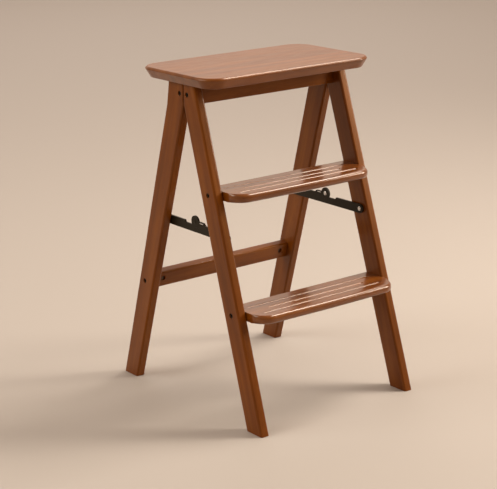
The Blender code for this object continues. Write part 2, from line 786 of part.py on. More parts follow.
# ---------------------------------------------------------------- assembly
def build_side(side, label, wood, bolt_steel, nut_steel):
    tread_bolts = [(-leg_mid_y(z), z) for z in TREAD_MID_Z]
    front_top = (-RAIL_MID_Y, TOP_BOLT_Z)
    rear_top = (RAIL_MID_Y, TOP_BOLT_Z)
    stretcher_bolt = (STRETCHER_Y, STRETCHER_Z)
    foot_y = FOOT_OUTER_Y - LEG_SPAN_Y / 2
    axis = (0.0, 0.0, HINGE_AXIS_Z)
    front_bolts = tread_bolts + [front_top]
    front = build_leg("front_leg_" + label, front_leg_outline(), side, front_bolts, -rivet_y())
    finish(front, wood, (side * (FOOT_OUTER_X - LEG_THICKNESS / 2), -foot_y, 0.0))
    rear_bolts = [stretcher_bolt, rear_top]
    rear = build_leg("rear_leg_" + label, rear_leg_outline(), side, rear_bolts, rivet_y())
    finish(rear, wood, (side * inner_x(HINGE_AXIS_Z), 0.0, HINGE_AXIS_Z))
    places = [
        ("tread_lower", tread_bolts[0], "Z"),
        ("tread_upper", tread_bolts[1], "Z"),
        ("apron", front_top, "Y"),
        ("rail_rear", rear_top, "Y"),
        ("stretcher", stretcher_bolt, "Y"),
    ]
    for part, centre, nut_axis in places:
        moving = part in ("rail_rear", "stretcher")
        bolt_origin = axis if moving else (side * outer_x(centre[1]), *centre)
        build_bolt("bolt_" + part + "_" + label, bolt_steel, side, centre, bolt_origin)
        nut_origin = axis if moving else (side * nut_x(centre), *centre)
        build_nut("barrel_nut_" + part + "_" + label, nut_steel, side, centre, nut_axis, nut_origin)


def build_hinge(steel):
    axis = (0.0, 0.0, HINGE_AXIS_Z)
    build_leaf("hinge_front_leaf", steel, -1, (0.0, -RAIL_FACE_Y, HINGE_SCREW_Z))
    build_leaf("hinge_rear_leaf", steel, 1, axis)
    build_pin(steel)
    for label, x in screw_places():
        build_hinge_screw("hinge_front_screw_" + label, steel, -1, x, (x, -RAIL_FACE_Y, HINGE_SCREW_Z))
        build_hinge_screw("hinge_rear_screw_" + label, steel, 1, x, axis)


def main():
    clear_scene()
    wood = make_material("stained_wood", (0.19, 0.075, 0.03), 0.4, 0.0)
    black_steel = make_material("black_steel", (0.03, 0.028, 0.026), 0.45, 0.6)
    zinc = make_material("zinc_steel", (0.62, 0.62, 0.6), 0.35, 1.0)
    axis = (0.0, 0.0, HINGE_AXIS_Z)
    build_seat(wood)
    build_rail("apron_front", wood, -1, FRONT_TOP_Z, (0.0, -RAIL_MID_Y, TOP_BOLT_Z))
    build_rail("rail_rear", wood, 1, REAR_TOP_Z, axis)
    build_tread("tread_lower", wood, TREAD_MID_Z[0])
    build_tread("tread_upper", wood, TREAD_MID_Z[1])
    build_stretcher(wood, axis)
    build_hinge(zinc)
    for side, label in ((-1, "left"), (1, "right")):
        build_side(side, label, wood, black_steel, zinc)
        build_brace(side, label, black_steel, zinc)
        build_seat_screw("seat_screw_" + label, zinc, side)


main()
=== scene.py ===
"""Folding wooden step ladder: the finished look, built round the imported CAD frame."""

import json
import math

import bmesh
import bpy
from mathutils import Matrix, Vector


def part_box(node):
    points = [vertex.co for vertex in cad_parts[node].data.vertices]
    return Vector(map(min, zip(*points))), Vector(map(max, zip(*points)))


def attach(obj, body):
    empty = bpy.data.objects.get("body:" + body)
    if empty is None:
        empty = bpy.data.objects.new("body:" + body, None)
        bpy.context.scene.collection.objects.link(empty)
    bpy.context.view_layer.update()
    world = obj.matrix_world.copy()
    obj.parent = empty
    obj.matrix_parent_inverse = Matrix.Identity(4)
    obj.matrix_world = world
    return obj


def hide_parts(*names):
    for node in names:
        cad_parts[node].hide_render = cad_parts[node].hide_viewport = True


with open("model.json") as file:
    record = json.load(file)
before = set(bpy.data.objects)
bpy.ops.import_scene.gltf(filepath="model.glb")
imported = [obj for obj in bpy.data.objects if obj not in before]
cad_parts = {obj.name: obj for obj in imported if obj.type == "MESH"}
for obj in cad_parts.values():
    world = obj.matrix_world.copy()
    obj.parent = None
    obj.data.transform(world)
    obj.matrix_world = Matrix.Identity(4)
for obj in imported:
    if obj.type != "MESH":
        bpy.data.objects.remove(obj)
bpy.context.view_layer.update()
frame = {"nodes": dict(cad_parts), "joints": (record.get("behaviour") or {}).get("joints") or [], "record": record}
NODES = frame["nodes"]
BODIES = frame["record"]["behaviour"]["bodies"]
NODE_BODY = {node: body for body, nodes in BODIES.items() for node in nodes}

# Sizes in metres that the frame doesn't state
CAD_GAP = 0.0003
CUT_OVER = 0.002
SOFT_EDGE = 0.0005
SPLAY_TAN = 0.01143
WOOD_THICKNESS = 0.020
LEG_WIDTH = 0.0465
APEX_DROP = 0.0427
SHANK_R = 0.003
SHANK_BORE_R = 0.0033

# Smoothness of round shapes
ROUND_STEPS = 40
TURNED_STEPS = 32
ARRIS_STEPS = 6
QUARTER = math.pi / 2

# Camera, matched to the photograph's viewing angle
CAMERA_PLACE = Vector((-1.9018, -2.4525, 1.1997))
CAMERA_AZIMUTH = math.radians(37.22)
CAMERA_DROP = math.radians(16.14)
CAMERA_ROLL = math.radians(-1.06)
CAMERA_REACH = 50.0
LENS_MM = 112.28
SENSOR_MM = 36.0


# ---------------------------------------------------------------- materials
# Places of the colour sockets on a Mix node
MIX_FIRST = 6
MIX_SECOND = 7
MIX_RESULT = 2


class Nodes:
    """Short helper for building a material's node tree."""

    def __init__(self, name):
        self.mat = bpy.data.materials.new(name)
        self.mat.use_nodes = True
        self.tree = self.mat.node_tree
        self.shader = self.tree.nodes["Principled BSDF"]

    def add(self, kind, **values):
        node = self.tree.nodes.new(kind)
        for key, value in values.items():
            setattr(node, key, value)
        return node

    def link(self, source, target):
        self.tree.links.new(source, target)

    def noise(self, vector, scale, detail, roughness, distortion=0.0):
        node = self.add("ShaderNodeTexNoise")
        node.inputs["Scale"].default_value = scale
        node.inputs["Detail"].default_value = detail
        node.inputs["Roughness"].default_value = roughness
        node.inputs["Distortion"].default_value = distortion
        self.link(vector, node.inputs["Vector"])
        return node.outputs["Fac"]

    def ramp(self, factor, stops):
        node = self.add("ShaderNodeValToRGB")
        while len(node.color_ramp.elements) < len(stops):
            node.color_ramp.elements.new(0.5)
        for element, (place, colour) in zip(node.color_ramp.elements, stops):
            element.position = place
            element.color = (*colour, 1.0)
        self.link(factor, node.inputs["Fac"])
        return node.outputs["Color"]

    def spread(self, factor, low, high, out_low, out_high):
        node = self.add("ShaderNodeMapRange")
        for key, value in (("From Min", low), ("From Max", high), ("To Min", out_low), ("To Max", out_high)):
            node.inputs[key].default_value = value
        self.link(factor, node.inputs["Value"])
        return node.outputs["Result"]

    def mix(self, kind, factor, first, second):
        node = self.add("ShaderNodeMix", data_type="RGBA", blend_type=kind)
        if isinstance(factor, float):
            node.inputs["Factor"].default_value = factor
        else:
            self.link(factor, node.inputs["Factor"])
        for place, value in ((MIX_FIRST, first), (MIX_SECOND, second)):
            socket = node.inputs[place]
            if isinstance(value, tuple):
                socket.default_value = (*value, 1.0)
            else:
                self.link(value, socket)
        return node.outputs[MIX_RESULT]

    def mapped(self, scale, turn=(0.0, 0.0, 0.0), shift=(0.0, 0.0, 0.0)):
        place = self.add("ShaderNodeTexCoord")
        node = self.add("ShaderNodeMapping")
        node.inputs["Scale"].default_value = scale
        node.inputs["Rotation"].default_value = turn
        node.inputs["Location"].default_value = shift
        self.link(place.outputs["Object"], node.inputs["Vector"])
        return node.outputs["Vector"]

    def bump(self, height, strength, distance):
        node = self.add("ShaderNodeBump")
        node.inputs["Strength"].default_value = strength
        node.inputs["Distance"].default_value = distance
        self.link(height, node.inputs["Height"])
        return node.outputs["Normal"]


# Stained hardwood: colours, and how fine its pattern is
WOOD_DARK = (0.116, 0.029, 0.0018)
WOOD_MID = (0.168, 0.044, 0.0028)
WOOD_LIGHT = (0.222, 0.067, 0.0048)
PORE = (0.050, 0.011, 0.002)
WHITE = (1.0, 1.0, 1.0)
FIBRE_SHADE = (0.72, 0.7, 0.68)
CLOUD_SHADE = (0.82, 0.8, 0.78)
CLOUD_LIGHT = (1.08, 1.05, 1.0)
GRAIN_STRETCH = (0.06, 1.0, 1.0)
BAND_SCALE = 45.0
FIBRE_SCALE = 420.0
PORE_SCALE = 900.0
CLOUD_SCALE = 7.0
FIBRE_MIX = 0.55
CLOUD_MIX = 0.8
PORE_MIX = 0.45
FIBRE_DEEP = 0.0004
STAIN_SPECULAR = 0.20
STAIN_TINT = (1.0, 0.66, 0.28, 1.0)
SATIN = 0.3
SATIN_SPREAD = 0.13


def wood_material(name, turn, shift, gloss=SATIN, gloss_spread=SATIN_SPREAD):
    """Walnut-stained hardwood under satin varnish; the grain runs along the mapped X axis."""
    made = Nodes(name)
    along = made.mapped((1.0, 1.0, 1.0), turn, shift)
    stretched = made.add("ShaderNodeMapping")
    stretched.inputs["Scale"].default_value = GRAIN_STRETCH
    made.link(along, stretched.inputs["Vector"])
    grain_space = stretched.outputs["Vector"]
    bands = made.noise(grain_space, BAND_SCALE, 5.0, 0.55, 0.6)
    fine = made.noise(grain_space, FIBRE_SCALE, 4.0, 0.6)
    pores = made.noise(grain_space, PORE_SCALE, 2.0, 0.5)
    cloud = made.noise(along, CLOUD_SCALE, 3.0, 0.5)
    tone = made.ramp(bands, [(0.28, WOOD_DARK), (0.5, WOOD_MID), (0.74, WOOD_LIGHT)])
    fine_tone = made.ramp(fine, [(0.3, FIBRE_SHADE), (0.62, WHITE)])
    tone = made.mix("MULTIPLY", FIBRE_MIX, tone, fine_tone)
    cloud_tone = made.ramp(cloud, [(0.3, CLOUD_SHADE), (0.7, CLOUD_LIGHT)])
    tone = made.mix("MULTIPLY", CLOUD_MIX, tone, cloud_tone)
    pore_mask = made.spread(pores, 0.64, 0.74, 0.0, PORE_MIX)
    tone = made.mix("MIX", pore_mask, tone, PORE)
    made.link(tone, made.shader.inputs["Base Color"])
    rough = made.spread(fine, 0.3, 0.7, 0.3, 0.44)
    made.link(rough, made.shader.inputs["Roughness"])
    made.shader.inputs["Coat Weight"].default_value = gloss
    made.shader.inputs["Coat Roughness"].default_value = gloss_spread
    made.shader.inputs["Specular IOR Level"].default_value = STAIN_SPECULAR
    made.shader.inputs["Specular Tint"].default_value = STAIN_TINT
    normal = made.bump(fine, 0.12, FIBRE_DEEP)
    made.link(normal, made.shader.inputs["Normal"])
    return made.mat


def metal_material(name, dark, light, roughness, metallic, scale, specular=0.5):
    """Painted or plated steel with small spots of tone, gloss and height."""
    made = Nodes(name)
    place = made.mapped((1.0, 1.0, 1.0))
    spots = made.noise(place, scale, 4.0, 0.6)
    tone = made.ramp(spots, [(0.3, dark), (0.7, light)])
    made.link(tone, made.shader.inputs["Base Color"])
    rough = made.spread(spots, 0.3, 0.7, roughness * 0.8, roughness * 1.25)
    made.link(rough, made.shader.inputs["Roughness"])
    made.shader.inputs["Metallic"].default_value = metallic
    made.shader.inputs["Specular IOR Level"].default_value = specular
    fine = made.noise(place, scale * 6.0, 2.0, 0.5)
    made.link(made.bump(fine, 0.08, 0.0002), made.shader.inputs["Normal"])
    return made.mat


# ---------------------------------------------------------------- mesh helpers
def to_object(name, mesh_data):
    """A new object from a bmesh, with its faces pointing out."""
    bmesh.ops.recalc_face_normals(mesh_data, faces=mesh_data.faces)
    mesh = bpy.data.meshes.new(name)
    mesh_data.to_mesh(mesh)
    mesh_data.free()
    item = bpy.data.objects.new(name, mesh)
    bpy.context.scene.collection.objects.link(item)
    return item


def loft(rings):
    """A closed skin over rings that all have the same number of points."""
    mesh_data = bmesh.new()
    loops = [[mesh_data.verts.new(point) for point in ring] for ring in rings]
    for lower, upper in zip(loops, loops[1:]):
        for index, vert in enumerate(lower):
            nxt = (index + 1) % len(lower)
            mesh_data.faces.new((vert, lower[nxt], upper[nxt], upper[index]))
    mesh_data.faces.new(loops[0][::-1])
    mesh_data.faces.new(loops[-1])
    return mesh_data


def quarter_turn(steps):
    """Angles from 0 to a right angle in equal steps."""
    return [QUARTER * index / steps for index in range(steps + 1)]


def turned(name, axis, centre, profile, steps=TURNED_STEPS):
    """A turned body from (along, radius) pairs on one axis through centre."""
    rings = []
    for along, radius in profile:
        ring = []
        for index in range(steps):
            angle = math.tau * (index + 0.5) / steps
            first = centre[0] + radius * math.cos(angle)
            second = centre[1] + radius * math.sin(angle)
            if axis == "X":
                ring.append((along, first, second))
            elif axis == "Y":
                ring.append((first, along, second))
            else:
                ring.append((first, second, along))
        rings.append(ring)
    return to_object(name, loft(rings))


def rod(name, axis, centre, radius, low, high, steps=ROUND_STEPS):
    return turned(name, axis, centre, [(low, radius), (high, radius)], steps)


def apply_modifiers(item):
    depsgraph = bpy.context.evaluated_depsgraph_get()
    mesh = bpy.data.meshes.new_from_object(item.evaluated_get(depsgraph))
    item.modifiers.clear()
    item.data = mesh


def cut(item, cutters):
    """Take the cutters' volumes out of a piece and delete them."""
    for cutter in cutters:
        modifier = item.modifiers.new("cut", "BOOLEAN")
        modifier.operation = "DIFFERENCE"
        modifier.solver = "EXACT"
        modifier.object = cutter
    apply_modifiers(item)
    for cutter in cutters:
        bpy.data.objects.remove(cutter, do_unlink=True)


def shade(item):
    """Smooth shading whose direction follows the large faces."""
    for poly in item.data.polygons:
        poly.use_smooth = True
    weighted = item.modifiers.new("shading", "WEIGHTED_NORMAL")
    weighted.keep_sharp = False
    apply_modifiers(item)


def soften(item, width, angle=35.0, segments=3):
    """Round the sharp edges that are left and shade by face weight."""
    bevel = item.modifiers.new("soft edges", "BEVEL")
    bevel.width = width
    bevel.segments = segments
    bevel.limit_method = "ANGLE"
    bevel.angle_limit = math.radians(angle)
    bevel.use_clamp_overlap = True
    apply_modifiers(item)
    shade(item)


def stand_for(item, node, material):
    """Material and body for a piece that replaces one CAD node."""
    item.data.materials.clear()
    item.data.materials.append(material)
    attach(item, NODE_BODY[node])
    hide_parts(node)


# ---------------------------------------------------------------- sizes read from the frame
def lo_hi(node):
    """A node's lowest and highest corners at rest."""
    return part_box(node)


def middle_of(node):
    low, high = lo_hi(node)
    return (low + high) / 2


SEAT_LOW, SEAT_HIGH = lo_hi("seat_board")
LEG_LOW, LEG_HIGH = lo_hi("front_leg_right")
REAR_HIGH = lo_hi("rear_leg_right")[1]
FOOT_OUTER_X = LEG_HIGH.x
FOOT_OUTER_Y = -LEG_LOW.y
APEX_Y = LEG_HIGH.y
APEX_Z = SEAT_LOW.z - APEX_DROP
LEAN = math.acos(LEG_WIDTH / math.hypot(FOOT_OUTER_Y, APEX_Z)) - math.atan2(APEX_Z, FOOT_OUTER_Y)
LEAN_TAN = math.tan(LEAN)
LEG_SPAN_Y = LEG_WIDTH / math.cos(LEAN)


def outer_x(z):
    """X of the legs' outer faces at a height; the legs splay sideways."""
    return FOOT_OUTER_X - SPLAY_TAN * z


def inner_x(z):
    return outer_x(z) - WOOD_THICKNESS


# ---------------------------------------------------------------- seat board
SEAT_CORNER_R = 0.042
SEAT_CORNER_STEPS = 18
SEAT_UNDER_INSET = 0.010
SEAT_TOP_ROUND = 0.004
SEAT_BAND = 0.0015
SEAT_LIP = 0.0006
EDGE_STEPS = 10
EDGE_SHAPE = 1.5


def rounded_rectangle(half_x, half_y, radius, centre_y, z):
    points = []
    for corner in range(4):
        sign_x = 1 if corner in (0, 3) else -1
        sign_y = 1 if corner in (0, 1) else -1
        for turn in quarter_turn(SEAT_CORNER_STEPS):
            angle = QUARTER * corner + turn
            x = sign_x * (half_x - radius) + radius * math.cos(angle)
            y = centre_y + sign_y * (half_y - radius) + radius * math.sin(angle)
            points.append((x, y, z))
    return points


def seat_profile():
    """Height and inset pairs from the underside up: slanted under-bevel, thin band, rounded top edge."""
    band_high = SEAT_HIGH.z - SEAT_TOP_ROUND
    band_low = band_high - SEAT_BAND
    levels = [
        (SEAT_LOW.z, SEAT_UNDER_INSET + SEAT_LIP),
        (SEAT_LOW.z + SEAT_LIP / 2, SEAT_UNDER_INSET),
        (band_low - SEAT_LIP, SEAT_LIP * 0.8),
        (band_low, SEAT_LIP * 0.2),
        (band_low + SEAT_LIP, 0.0),
    ]
    for angle in quarter_turn(EDGE_STEPS):
        rise = math.sin(angle) ** EDGE_SHAPE
        inset = 1 - max(math.cos(angle), 0.0) ** EDGE_SHAPE
        levels.append((band_high + SEAT_TOP_ROUND * rise, SEAT_TOP_ROUND * inset))
    return levels


def build_seat(material):
    half_x = SEAT_HIGH.x
    half_y = (SEAT_HIGH.y - SEAT_LOW.y) / 2
    centre_y = (SEAT_HIGH.y + SEAT_LOW.y) / 2
    rings = [rounded_rectangle(half_x - inset, half_y - inset, SEAT_CORNER_R - inset, centre_y, z)
             for z, inset in seat_profile()]
    seat = to_object("seat_board_finish", loft(rings))
    shade(seat)
    stand_for(seat, "seat_board", material)


# ---------------------------------------------------------------- treads
TREAD_BOW = 0.003
TREAD_BOW_STEPS = 24
TREAD_CORNER_R = 0.034
TREAD_CORNER_STEPS = 20
TREAD_NOSE_R = 0.0078
TREAD_NOSE_STEPS = 8
TREAD_SOFT_ANGLE = 38.0
GROOVE_BACK = (0.029, 0.0505, 0.074)
GROOVE_HALF = (0.152, 0.124, 0.158)
GROOVE_R = 0.0040
GROOVE_RISE = 0.0019
GROOVE_SIDES = 24
GROOVE_END_STEPS = 6
GROOVE_TIP_R = GROOVE_R * 0.05


def tread_outline(low, high):
    """Plan outline as (x, y, nose weight, outward x, outward y)."""
    half_x = (high.x - low.x) / 2
    start_x = half_x - TREAD_CORNER_R
    bowed = low.y + TREAD_BOW
    back = [(half_x, high.y, 0.0, 0.0, 0.0), (-half_x, high.y, 0.0, 0.0, 0.0)]
    left = []
    for angle in quarter_turn(TREAD_CORNER_STEPS):
        x = -start_x - TREAD_CORNER_R * math.cos(angle)
        y = bowed + TREAD_CORNER_R * (1 - math.sin(angle))
        left.append((x, y, math.sqrt(math.sin(angle)), -math.cos(angle), -math.sin(angle)))
    middle = []
    for index in range(1, TREAD_BOW_STEPS):
        x = -start_x + 2 * start_x * index / TREAD_BOW_STEPS
        middle.append((x, bowed - TREAD_BOW * (1 - (x / start_x) ** 2), 1.0, 0.0, -1.0))
    right = [(-x, y, weight, -out_x, out_y) for x, y, weight, out_x, out_y in left[::-1]]
    return back + left + middle + right


def groove_tool(y, half, top):
    """A round-ended rod lying along X, sunk a little into the tread's top."""
    stations = []
    for angle in quarter_turn(GROOVE_END_STEPS)[:-1]:
        radius = max(GROOVE_R * math.sin(angle), GROOVE_TIP_R)
        stations.append((-half + GROOVE_R - GROOVE_R * math.cos(angle), radius))
    stations.append((-half + GROOVE_R, GROOVE_R))
    stations += [(-x, radius) for x, radius in stations[::-1]]
    return turned("groove", "X", (y, top + GROOVE_RISE), stations, GROOVE_SIDES)


def build_tread(node, material):
    """Tread with a rounded nose all round its front, splayed ends and three cut grooves."""
    low, high = lo_hi(node)
    mid_z = (low.z + high.z) / 2
    half = (high.z - low.z) / 2
    levels = []
    for angle in quarter_turn(TREAD_NOSE_STEPS):
        levels.append((half - TREAD_NOSE_R * (1 - math.sin(angle)), TREAD_NOSE_R * (1 - math.cos(angle))))
    stack = [(-rise, inset) for rise, inset in levels[::-1]] + levels
    rings = []
    for rise, inset in stack:
        ring = []
        for x, y, weight, out_x, out_y in tread_outline(low, high):
            drop = inset * weight
            splay = -SPLAY_TAN * (rise + half) * x / high.x
            ring.append((x - out_x * drop + splay, y - out_y * drop, mid_z + rise))
        rings.append(ring)
    tread = to_object(node + "_finish", loft(rings))
    cut(tread, [groove_tool(low.y + back, span, high.z) for back, span in zip(GROOVE_BACK, GROOVE_HALF)])
    soften(tread, SOFT_EDGE, TREAD_SOFT_ANGLE)
    stand_for(tread, node, material)


# ---------------------------------------------------------------- legs and rails
LEG_ARRIS = 0.0044
REAR_SHOULDER_DROP = 0.049
COUNTERBORE_R = 0.0050
COUNTERBORE_DEEP = 0.0062
RAIL_ARRIS = 0.0015
STRETCHER_ARRIS = 0.0045
STRETCHER_THICKNESS = 0.020
STRETCHER_HEIGHT = 0.037
NUT_HOLE_R = 0.0053
NUT_HOLE_PAST = 0.0063
NUT_HOLE_MOUTH = 0.01


def front_outline():
    """Front leg in the Y, Z plane: slanting, with an upright face where the two legs butt at the top."""
    inner_z = (FOOT_OUTER_Y - LEG_SPAN_Y + APEX_Y) / LEAN_TAN
    return [
        (-FOOT_OUTER_Y, 0.0),
        (-FOOT_OUTER_Y + LEG_SPAN_Y, 0.0),
        (APEX_Y, inner_z),
        (APEX_Y, LEG_HIGH.z),
        (-FOOT_OUTER_Y + LEAN_TAN * LEG_HIGH.z, LEG_HIGH.z),
    ]


def rear_outline():
    """Rear leg in the Y, Z plane, like the front one but with an upright shoulder under the seat."""
    inner_z = (FOOT_OUTER_Y - LEG_SPAN_Y + APEX_Y) / LEAN_TAN
    shoulder_z = REAR_HIGH.z - REAR_SHOULDER_DROP
    shoulder_y = FOOT_OUTER_Y - LEAN_TAN * shoulder_z
    return [
        (FOOT_OUTER_Y, 0.0),
        (shoulder_y, shoulder_z),
        (shoulder_y, REAR_HIGH.z),
        (-APEX_Y, REAR_HIGH.z),
        (-APEX_Y, inner_z),
        (FOOT_OUTER_Y - LEG_SPAN_Y, 0.0),
    ]


def bevel_edges(mesh_data, edges, width):
    bmesh.ops.bevel(mesh_data, geom=edges, offset=width, segments=ARRIS_STEPS, profile=0.5, affect="EDGES")


def build_leg(node, outline, side, bolts, material):
    """Leg with rounded long edges and a counterbore over each bolt, sheared sideways for its splay."""
    mesh_data = loft([[(x, y, z) for y, z in outline]
                      for x in (side * inner_x(0.0), side * FOOT_OUTER_X)])
    edges = []
    for edge in mesh_data.edges:
        first, second = [vert.co for vert in edge.verts]
        if abs(first.x - second.x) < CAD_GAP and abs(first.z - second.z) > WOOD_THICKNESS:
            edges.append(edge)
    bevel_edges(mesh_data, edges, LEG_ARRIS)
    for vert in mesh_data.verts:
        vert.co.x -= side * SPLAY_TAN * vert.co.z
    leg = to_object(node + "_finish", mesh_data)
    cutters = []
    for bolt in bolts:
        centre = middle_of(bolt).yz
        face = outer_x(centre[1])
        floor = side * (face - COUNTERBORE_DEEP)
        cutters.append(rod("hole", "X", centre, COUNTERBORE_R, floor, side * (face + CUT_OVER)))
    cut(leg, cutters)
    soften(leg, SOFT_EDGE)
    stand_for(leg, node, material)


def build_cross_piece(node, outline, arris, bores, material):
    """A rail between the legs; its ends follow the legs' inner faces."""
    mesh_data = loft([[(x, y, z) for y, z in outline] for x in (-1.0, 1.0)])
    edges = [edge for edge in mesh_data.edges if edge.verts[0].co.x * edge.verts[1].co.x < 0]
    bevel_edges(mesh_data, edges, arris)
    for vert in mesh_data.verts:
        side = 1 if vert.co.x > 0 else -1
        vert.co.x = side * (inner_x(vert.co.z) - CAD_GAP)
    piece = to_object(node + "_finish", mesh_data)
    cut(piece, bores)
    soften(piece, SOFT_EDGE)
    stand_for(piece, node, material)


def nut_bores(node, part, toward):
    """Barrel-nut holes in one face of a rail; toward is the side of Y that they open to."""
    low, high = lo_hi(node)
    mouth = (low.y - NUT_HOLE_MOUTH) if toward < 0 else (high.y + NUT_HOLE_MOUTH)
    bores = []
    for label in ("left", "right"):
        middle = middle_of("barrel_nut_" + part + "_" + label)
        start, end = sorted((mouth, middle.y - toward * NUT_HOLE_PAST))
        bores.append(rod("bore", "Y", middle.xz, NUT_HOLE_R, start, end))
    return bores


def rail_outline(node):
    low, high = lo_hi(node)
    return [(low.y, low.z), (high.y, low.z), (high.y, high.z), (low.y, high.z)]


def stretcher_outline():
    """The stretcher's section, which leans with the rear legs."""
    middle = middle_of("rear_stretcher")
    outline = []
    for across, up in ((-1, -1), (1, -1), (1, 1), (-1, 1)):
        a = across * STRETCHER_THICKNESS / 2
        b = up * STRETCHER_HEIGHT / 2
        outline.append((middle.y + a * math.cos(LEAN) - b * math.sin(LEAN),
                        middle.z + a * math.sin(LEAN) + b * math.cos(LEAN)))
    return outline


# ---------------------------------------------------------------- steel pieces
ARM_WIDTH = 0.019
ARM_FILLET = 0.0015
ARM_FILLET_STEPS = 6
ARM_END_STEPS = 28
ARM_SOFT_EDGE = 0.0004
EAR_R = 0.0125
EAR_STEPS = 40
LAP_STEPS = 64
NOTCH_DEEP = 0.0045
NOTCH_END = 0.0335
SHOULDER_RISE = 0.005
SHOULDER_END = 0.030
DOME_STEPS = 6
DOME_TIP = 0.04
RIVET_SOFT_EDGE = 0.00015
PIN_SIDES = 20
PIN_DOME_STEPS = 5
PIN_WAIST = (0.0030, 0.0033, 0.0042, 0.0045)
PIN_WAIST_SHARE = 0.8
PIN_SOFT_EDGE = 0.0001
BOLT_HEAD = 0.0042
BOLT_HEAD_R = 0.0046
SOCKET_DEEP = 0.0026
SOCKET_R = 0.0025
SCREW_CHAMFER = 0.0006
SCREW_SOFT_EDGE = 0.0002
SCREW_SOFT_ANGLE = 40.0
SLOT_HALF = 0.0005
SLOT_DEEP = 0.0016
NODE_SOFT_EDGE = 0.0006
ROUND_SOFT_ANGLE = 50.0


def joint_place(name):
    """Y and Z of a joint's axis."""
    place = next(joint["pos_m"] for joint in frame["joints"] if joint["name"] == name)
    return (place[1], place[2])


def box_tool(low, high):
    """A plain box between two corners, for cutting."""
    outline = [(low.x, low.y), (high.x, low.y), (high.x, high.y), (low.x, high.y)]
    return to_object("box", loft([[(x, y, z) for x, y in outline] for z in (low.z, high.z)]))


def arc(centre, radius, start, end, steps):
    points = []
    for index in range(steps + 1):
        angle = start + (end - start) * index / steps
        points.append((centre[0] + radius * math.cos(angle), centre[1] + radius * math.sin(angle)))
    return points


def arm_outline(end_y, knuckle, bar_z, notched):
    """Bar with a round far end and an ear round the knuckle, drawn with the knuckle at the origin."""
    away = -1 if end_y < knuckle[0] else 1
    reach = abs(end_y - knuckle[0])
    low = bar_z - knuckle[1] - ARM_WIDTH / 2
    high = low + ARM_WIDTH
    shelf = high + (-NOTCH_DEEP if notched else SHOULDER_RISE)
    seam = CAD_GAP / 2
    half_fillet = ARM_FILLET / 2
    ear = arc((0.0, 0.0), EAR_R, -QUARTER, math.pi + math.asin(-shelf / EAR_R), EAR_STEPS)
    points = [(seam, low), (seam, ear[0][1])]
    points += [(-y, z) for y, z in ear[1:]]
    if notched:
        top = NOTCH_END + NOTCH_DEEP / 2
        centre = (NOTCH_END - ARM_FILLET, shelf + ARM_FILLET)
        points += arc(centre, ARM_FILLET, -QUARTER, -QUARTER / 4, ARM_FILLET_STEPS)
        points += [(top - half_fillet, high - half_fillet), (top, high)]
    else:
        top = SHOULDER_END + SHOULDER_RISE
        points += [(SHOULDER_END - ARM_FILLET, shelf), (SHOULDER_END, shelf - half_fillet)]
        points += [(top - ARM_FILLET, high + half_fillet), (top, high)]
    points += arc((reach, (low + high) / 2), ARM_WIDTH / 2, QUARTER, -QUARTER, ARM_END_STEPS)
    return [(knuckle[0] + away * y, knuckle[1] + z) for y, z in points]


def build_arm(node, label, front, material):
    """One arm of a side brace; at the knuckle each arm is half as thick, so that the two lap."""
    low, high = lo_hi(node)
    side = 1 if label == "right" else -1
    inner, outer = sorted((abs(low.x), abs(high.x)))
    middle = (inner + outer) / 2
    knuckle = joint_place("brace_knuckle_" + label + "_pivot")
    front_end = joint_place("brace_front_" + label + "_pivot")
    end_y = front_end[0] if front else -front_end[0]
    notched = front == (side > 0)
    outline = arm_outline(end_y, knuckle, front_end[1], notched)
    faces = (side * inner, side * outer)
    arm = to_object(node + "_finish", loft([[(x, y, z) for y, z in outline] for x in faces]))
    half_gap = CAD_GAP / 2
    if front:
        lap = (side * (middle - half_gap), side * (outer + CUT_OVER))
    else:
        lap = (side * (inner - CUT_OVER), side * (middle + half_gap))
    through = sorted((side * (inner - CUT_OVER), side * (outer + CUT_OVER)))
    cutters = [
        rod("lap", "X", knuckle, EAR_R + CAD_GAP, *sorted(lap), steps=LAP_STEPS),
        rod("bore", "X", knuckle, SHANK_BORE_R, *through),
        rod("bore", "X", (end_y, front_end[1]), SHANK_BORE_R, *through),
    ]
    if not notched:
        margin = Vector((CAD_GAP, CAD_GAP, CAD_GAP))
        pin_low, pin_high = lo_hi("brace_lock_pin_" + label)
        slot_low = pin_low - margin
        slot_low.x = pin_low.x - CUT_OVER
        cutters.append(box_tool(slot_low, pin_high + margin))
    cut(arm, cutters)
    soften(arm, ARM_SOFT_EDGE)
    stand_for(arm, node, material)


def dome(base, height, radius, direction, steps=DOME_STEPS):
    """Profile of a low dome from its tip to its rim at base."""
    profile = []
    for angle in quarter_turn(steps):
        width = max(math.sin(angle), DOME_TIP)
        profile.append((base + direction * height * math.cos(angle), radius * width))
    return profile


def build_rivet(node, arm_node, material, back_material=None):
    """Rivet with a domed head on the arm's inner face; back_material adds a head on the outer face."""
    low, high = lo_hi(node)
    arm_low, arm_high = lo_hi(arm_node)
    side = 1 if low.x > 0 else -1
    near, far = sorted((abs(low.x), abs(high.x)))
    near_face = min(abs(arm_low.x), abs(arm_high.x)) - CAD_GAP
    far_face = max(abs(arm_low.x), abs(arm_high.x)) + CAD_GAP
    radius = (high.y - low.y) / 2
    profile = dome(near_face, near_face - near, radius, -1) + [(near_face, SHANK_R)]
    if back_material:
        back_head = dome(far_face, far - far_face, radius, 1)[::-1]
        profile += [(far_face, SHANK_R)] + back_head
    else:
        profile += [(far, SHANK_R)]
    rivet = turned(node + "_finish", "X", middle_of(node).yz, [(side * along, r) for along, r in profile])
    soften(rivet, RIVET_SOFT_EDGE, ROUND_SOFT_ANGLE, 2)
    stand_for(rivet, node, material)
    if back_material:
        rivet.data.materials.append(back_material)
        for face in rivet.data.polygons:
            face.material_index = int(abs(face.center.x) > far_face - CAD_GAP)


